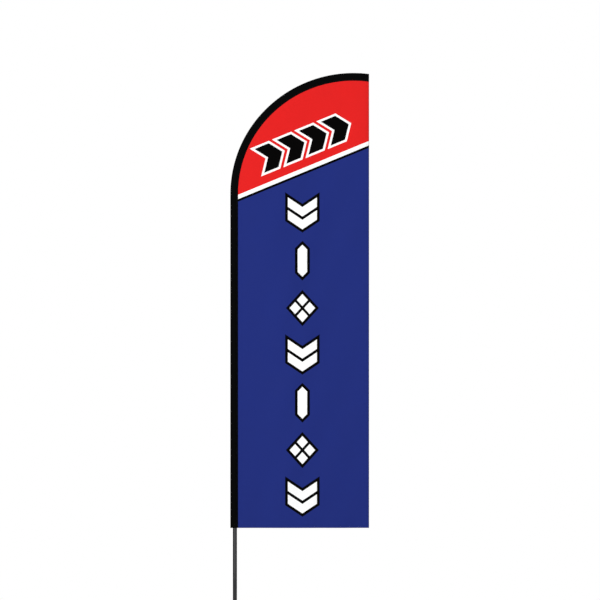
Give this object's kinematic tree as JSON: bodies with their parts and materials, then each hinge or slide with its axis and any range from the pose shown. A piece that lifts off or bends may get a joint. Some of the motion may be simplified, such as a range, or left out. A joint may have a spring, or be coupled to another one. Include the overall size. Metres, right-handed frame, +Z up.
{
  "type": "feather flag",
  "caption": "Tall sleeved banner flag on a slip-fit sectional pole with a bent tip, turning on a ground spike.",
  "frame": {"origin": "on the pole's axis at ground level, in the plane of the stop plate's underside", "axes": "+Z up along the pole, +X from the pole towards the flag's free edge, -Y out of the printed face"},
  "size_m": [0.9244, 0.08, 4.0499],
  "materials": {
    "zinc_plated_steel": "bright zinc plating, lightly brushed",
    "black_painted_steel": "satin black powder coat",
    "bearing_steel": "ground and polished",
    "spring_steel": "phosphated",
    "black_rubber": "matt",
    "cage_nylon": "natural nylon",
    "black_nylon": "moulded, fine satin",
    "black_anodised_aluminium": "satin black anodised",
    "black_glass_fibre": "pultruded, half gloss",
    "black_webbing": "woven polyester tape",
    "black_sleeve_cloth": "knitted polyester, dull sheen",
    "printed_polyester": "knitted polyester, dye-printed in red, white, black and blue"
  },
  "bodies": {
    "ground_spike": {"spike_rod": "zinc_plated_steel", "stop_plate": "zinc_plated_steel", "bearing_housing": "black_painted_steel", "lower_bearing_outer_ring": "bearing_steel", "upper_bearing_outer_ring": "bearing_steel", "outer_ring_spacer": "zinc_plated_steel", "housing_retaining_ring": "spring_steel", "dust_seal": "black_rubber"},
    "spindle": {"spindle_shaft": "zinc_plated_steel", "lower_bearing_inner_ring": "bearing_steel", "upper_bearing_inner_ring": "bearing_steel", "inner_ring_spacer": "zinc_plated_steel", "spindle_circlip": "spring_steel", "pole_rest_washer": "black_rubber"},
    "lower_ball_set": {"lower_bearing_balls": "bearing_steel", "lower_bearing_cage": "cage_nylon"},
    "upper_ball_set": {"upper_bearing_balls": "bearing_steel", "upper_bearing_cage": "cage_nylon"},
    "lower_pole": {"lower_pole_tube": "black_anodised_aluminium", "lower_pole_foot_bushing": "black_nylon", "spindle_guide_bushing": "black_nylon", "lower_pole_top_bushing": "black_nylon"},
    "middle_pole": {"middle_pole_tube": "black_anodised_aluminium", "middle_pole_stop_collar": "black_nylon", "middle_pole_top_bushing": "black_nylon"},
    "upper_pole": {"upper_pole_tube": "black_anodised_aluminium", "upper_pole_stop_collar": "black_nylon", "upper_pole_top_bushing": "black_nylon"},
    "tip_and_flag": {"tip_rod": "black_glass_fibre", "tip_rod_stop_collar": "black_nylon", "tip_cap": "black_rubber", "tip_pocket_liner": "black_webbing", "pole_sleeve": "black_sleeve_cloth", "sleeve_mouth_binding": "black_webbing", "flag_panel": "printed_polyester", "bottom_hem": "printed_polyester", "side_hem": "printed_polyester"}
  },
  "joints": [
    {"name": "mast_spin", "type": "hinge", "parent": "ground_spike", "child": "spindle", "pos_m": [0, 0, 0.036], "axis": [0, 0, 1], "continuous": true},
    {"name": "lower_ball_roll", "type": "hinge", "parent": "ground_spike", "child": "lower_ball_set", "pos_m": [0, 0, 0.022], "axis": [0, 0, 1], "continuous": true},
    {"name": "upper_ball_roll", "type": "hinge", "parent": "ground_spike", "child": "upper_ball_set", "pos_m": [0, 0, 0.042], "axis": [0, 0, 1], "continuous": true},
    {"name": "pole_lift", "type": "slide", "parent": "spindle", "child": "lower_pole", "axis": [0, 0, 1], "range_m": [0, 0.13]},
    {"name": "middle_pole_slip", "type": "slide", "parent": "lower_pole", "child": "middle_pole", "axis": [0, 0, 1], "range_m": [0, 0.15]},
    {"name": "upper_pole_slip", "type": "slide", "parent": "middle_pole", "child": "upper_pole", "axis": [0, 0, 1], "range_m": [0, 0.15]},
    {"name": "tip_slip", "type": "slide", "parent": "upper_pole", "child": "tip_and_flag", "axis": [0, 0, 1], "range_m": [0, 0.15]}
  ],
  "couplings": [
    {"joint": "lower_ball_roll", "follows": "mast_spin", "ratio": 0.381},
    {"joint": "upper_ball_roll", "follows": "mast_spin", "ratio": 0.381}
  ]
}
